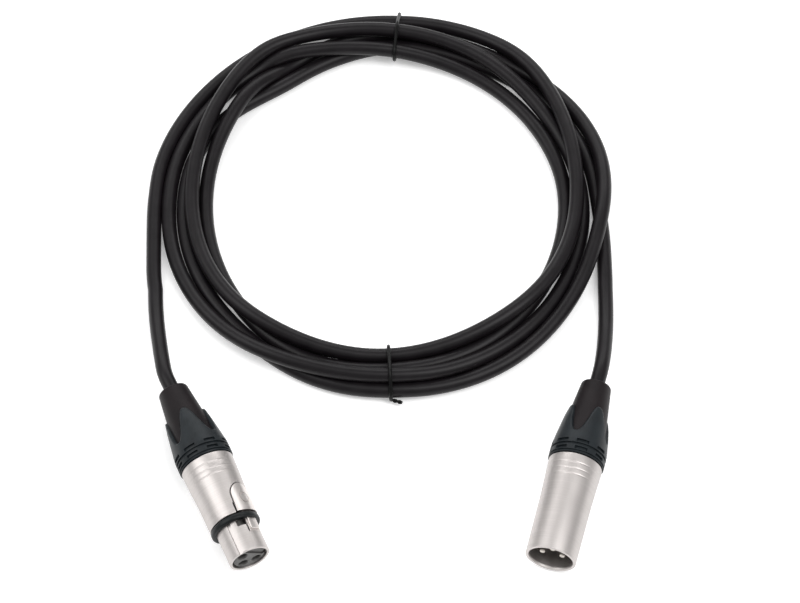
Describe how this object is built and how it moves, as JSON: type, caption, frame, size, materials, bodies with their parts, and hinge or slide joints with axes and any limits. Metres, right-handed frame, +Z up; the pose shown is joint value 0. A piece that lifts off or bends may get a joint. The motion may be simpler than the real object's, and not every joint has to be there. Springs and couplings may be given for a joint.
{
  "type": "microphone cable coil",
  "caption": "Black microphone cable wound into a flat round coil held by wire ties, with a female and a male round metal connector on short tails.",
  "frame": {"origin": "on the ground, midway between the two connectors", "axes": "+Z up, +X from the female connector's side to the male connector's, +Y from the connectors towards the coil"},
  "size_m": [0.1842, 0.2571, 0.0216],
  "materials": {
    "cable_jacket": "satin",
    "tie": "satin",
    "nickel_shell": "satin nickel plate",
    "gasket": "satin",
    "latch_metal": "bright nickel plate",
    "spring_steel": "plain",
    "insert": "moulded",
    "boot_rubber": "matte",
    "boot_plastic": "fine moulded",
    "contact_metal": "plated",
    "core_red": "insulation",
    "core_white": "insulation",
    "core_shield": "bare copper strands"
  },
  "bodies": {
    "root": {"cable_coil": "cable_jacket", "cable_tail_female": "cable_jacket", "cable_tail_male": "cable_jacket", "tie_1": "tie", "tie_2": "tie", "female_shell": "nickel_shell", "male_shell": "nickel_shell", "female_gasket_ring": "gasket", "female_insert": "insert", "male_insert": "insert", "female_core_red": "core_red", "female_core_white": "core_white", "female_core_shield": "core_shield", "male_core_red": "core_red", "male_core_white": "core_white", "male_core_shield": "core_shield", "female_contact_1": "contact_metal", "male_pin_1": "contact_metal", "female_contact_2": "contact_metal", "male_pin_2": "contact_metal", "female_contact_3": "contact_metal", "male_pin_3": "contact_metal"},
    "female_latch": {"female_latch": "latch_metal", "female_latch_spring": "spring_steel"},
    "female_chuck": {"female_chuck": "insert"},
    "female_boot": {"female_boot_sleeve": "boot_rubber", "female_boot_ring": "boot_plastic"},
    "male_chuck": {"male_chuck": "insert"},
    "male_boot": {"male_boot_sleeve": "boot_rubber", "male_boot_ring": "boot_plastic"}
  },
  "joints": [
    {"name": "female_latch_press", "type": "hinge", "parent": "root", "child": "female_latch", "pos_m": [-0.05535, -0.00927, 0.01684], "axis": [0.6341, 0.2836, -0.7193], "range_deg": [0, 5], "stiffness_Nm_per_rad": 0.6, "springref_deg": -2.86},
    {"name": "female_chuck_slide", "type": "slide", "parent": "root", "child": "female_chuck", "axis": [-0.4083, 0.9128, 0], "range_m": [0, 0.00525]},
    {"name": "female_boot_turn", "type": "hinge", "parent": "female_chuck", "child": "female_boot", "pos_m": [-0.0825, 0.0361, 0.0108], "axis": [-0.4083, 0.9128, 0], "range_deg": [0, 1260]},
    {"name": "male_chuck_slide", "type": "slide", "parent": "root", "child": "male_chuck", "axis": [0.2605, 0.9655, 0], "range_m": [0, 0.00525]},
    {"name": "male_boot_turn", "type": "hinge", "parent": "male_chuck", "child": "male_boot", "pos_m": [0.0822, 0.0384, 0.0108], "axis": [0.2605, 0.9655, 0], "range_deg": [0, 1260]}
  ],
  "couplings": [
    {"joint": "female_boot_turn", "follows": "female_chuck_slide", "rad_per_m": 4188.8},
    {"joint": "male_boot_turn", "follows": "male_chuck_slide", "rad_per_m": 4188.8}
  ]
}
